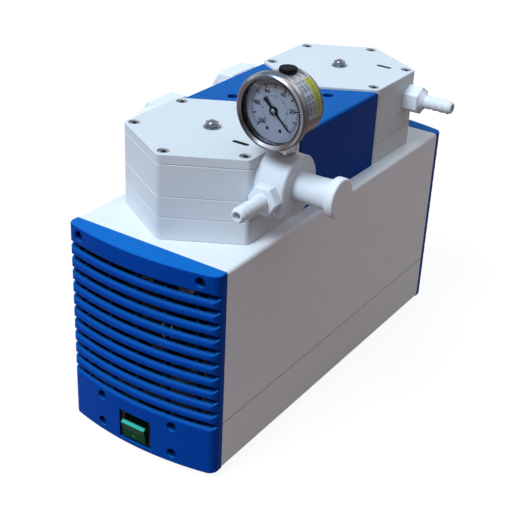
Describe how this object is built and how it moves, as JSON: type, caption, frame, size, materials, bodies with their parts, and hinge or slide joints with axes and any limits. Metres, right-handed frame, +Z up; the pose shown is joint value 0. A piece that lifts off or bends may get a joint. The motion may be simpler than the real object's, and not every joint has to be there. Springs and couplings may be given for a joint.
{
  "type": "diaphragm vacuum pump",
  "caption": "Boxy electric diaphragm vacuum pump with hexagonal pump heads on top, a vacuum gauge and regulator on the right, hose barbs and louvred bowed end caps.",
  "frame": {"origin": "middle of the housing's flat underside, on the plane where the feet are screwed on", "axes": "+X to the regulator and outlet side, +Y from the switch end to the mains end, +Z up"},
  "size_m": [0.217, 0.3857, 0.322],
  "materials": {
    "housing_white": "satin",
    "cap_blue": "satin",
    "head_white": "satin",
    "screw_steel": "satin",
    "chrome": "polished",
    "stainless": "polished",
    "turned_steel": "satin",
    "lamination": "matte",
    "copper": "satin",
    "cast_aluminium": "matte",
    "capacitor_can": "satin",
    "black_plastic": "matte",
    "green_plastic": "gloss",
    "neck_grey": "satin",
    "knob_grey": "satin",
    "gauge_glass": "clear",
    "dial_white": "matte",
    "needle_black": "matte",
    "brass": "satin",
    "black_rubber": "matte",
    "diaphragm_rubber": "matte",
    "tube_white": "satin"
  },
  "bodies": {
    "pump_body": {"base_pan": "housing_white", "upper_cover": "housing_white", "front_cap": "cap_blue", "rear_cap": "cap_blue", "case_screws": "screw_steel", "saddle_cover": "cap_blue", "rubber_feet": "black_rubber", "switch_body": "black_plastic", "mains_inlet": "black_plastic", "head_screws": "screw_steel", "dome_nuts": "chrome", "motor_stator": "lamination", "stator_windings": "copper", "motor_end_bells": "cast_aluminium", "shaft_bearings": "turned_steel", "motor_cradle": "cast_aluminium", "motor_capacitor": "capacitor_can", "regulator_body": "head_white", "regulator_neck": "neck_grey", "inlet_barb": "head_white", "outlet_barb": "head_white", "gauge_case": "stainless", "gauge_bezel": "stainless", "gauge_glass": "gauge_glass", "gauge_dial": "dial_white", "gauge_movement": "brass", "gauge_plug": "black_rubber", "link_fittings": "head_white", "link_tube": "tube_white", "head_base_front": "head_white", "chamber_plate_front": "head_white", "port_block_front": "head_white", "head_lid_front": "head_white", "diaphragm_front": "diaphragm_rubber", "crankcase_front": "cast_aluminium", "head_base_rear": "head_white", "chamber_plate_rear": "head_white", "port_block_rear": "head_white", "head_lid_rear": "head_white", "diaphragm_rear": "diaphragm_rubber", "crankcase_rear": "cast_aluminium"},
    "rotor": {"motor_shaft": "turned_steel", "rotor_core": "lamination", "eccentric_front": "turned_steel", "eccentric_rear": "turned_steel", "cooling_fans": "black_plastic"},
    "rod_front": {"connecting_rod_front": "cast_aluminium", "crank_bearing_front": "turned_steel", "clamp_disc_front": "cast_aluminium"},
    "rod_rear": {"connecting_rod_rear": "cast_aluminium", "crank_bearing_rear": "turned_steel", "clamp_disc_rear": "cast_aluminium"},
    "rocker": {"switch_rocker": "green_plastic"},
    "knob": {"regulator_knob": "knob_grey"},
    "stem": {"regulator_stem": "turned_steel"},
    "needle": {"gauge_needle": "needle_black"},
    "intake_front": {"intake_valve_front": "diaphragm_rubber"},
    "intake_rear": {"intake_valve_rear": "diaphragm_rubber"},
    "exhaust_front": {"exhaust_valve_front": "diaphragm_rubber"},
    "exhaust_rear": {"exhaust_valve_rear": "diaphragm_rubber"}
  },
  "joints": [
    {"name": "motor_spin", "type": "hinge", "parent": "pump_body", "child": "rotor", "pos_m": [0, 0.003, 0.09], "axis": [0, 1, 0], "continuous": true},
    {"name": "rod_front_turn", "type": "hinge", "parent": "rotor", "child": "rod_front", "pos_m": [0, -0.09415, 0.094], "axis": [0, 1, 0], "continuous": true, "deforming": ["diaphragm_front"]},
    {"name": "rod_rear_turn", "type": "hinge", "parent": "rotor", "child": "rod_rear", "pos_m": [0, 0.10015, 0.086], "axis": [0, 1, 0], "continuous": true, "deforming": ["diaphragm_rear"]},
    {"name": "switch_rock", "type": "hinge", "parent": "pump_body", "child": "rocker", "pos_m": [0, -0.18085, 0.0174], "axis": [-1, 0, 0], "range_deg": [0, 20]},
    {"name": "knob_turn", "type": "hinge", "parent": "pump_body", "child": "knob", "pos_m": [0.114, -0.10085, 0.2255], "axis": [1, 0, 0], "range_deg": [0, 720]},
    {"name": "stem_travel", "type": "slide", "parent": "pump_body", "child": "stem", "axis": [1, 0, 0], "range_m": [0, 0.003]},
    {"name": "needle_sweep", "type": "hinge", "parent": "pump_body", "child": "needle", "pos_m": [0.0725, -0.10085, 0.2873], "axis": [0, -1, 0], "range_deg": [0, 270], "stiffness_Nm_per_rad": 0.0005},
    {"name": "intake_front_lift", "type": "slide", "parent": "pump_body", "child": "intake_front", "axis": [0, 0, -1], "range_m": [0, 0.0012], "stiffness_N_per_m": 20, "springref_m": -0.001},
    {"name": "intake_rear_lift", "type": "slide", "parent": "pump_body", "child": "intake_rear", "axis": [0, 0, -1], "range_m": [0, 0.0012], "stiffness_N_per_m": 20, "springref_m": -0.001},
    {"name": "exhaust_front_lift", "type": "slide", "parent": "pump_body", "child": "exhaust_front", "axis": [0, 0, 1], "range_m": [0, 0.0012], "stiffness_N_per_m": 20, "springref_m": -0.001},
    {"name": "exhaust_rear_lift", "type": "slide", "parent": "pump_body", "child": "exhaust_rear", "axis": [0, 0, 1], "range_m": [0, 0.0012], "stiffness_N_per_m": 20, "springref_m": -0.001}
  ],
  "couplings": [
    {"joint": "rod_front_turn", "follows": "motor_spin", "ratio": -1},
    {"joint": "rod_rear_turn", "follows": "motor_spin", "ratio": -1},
    {"joint": "stem_travel", "follows": "knob_turn", "m_per_rad": 0.0002387}
  ]
}
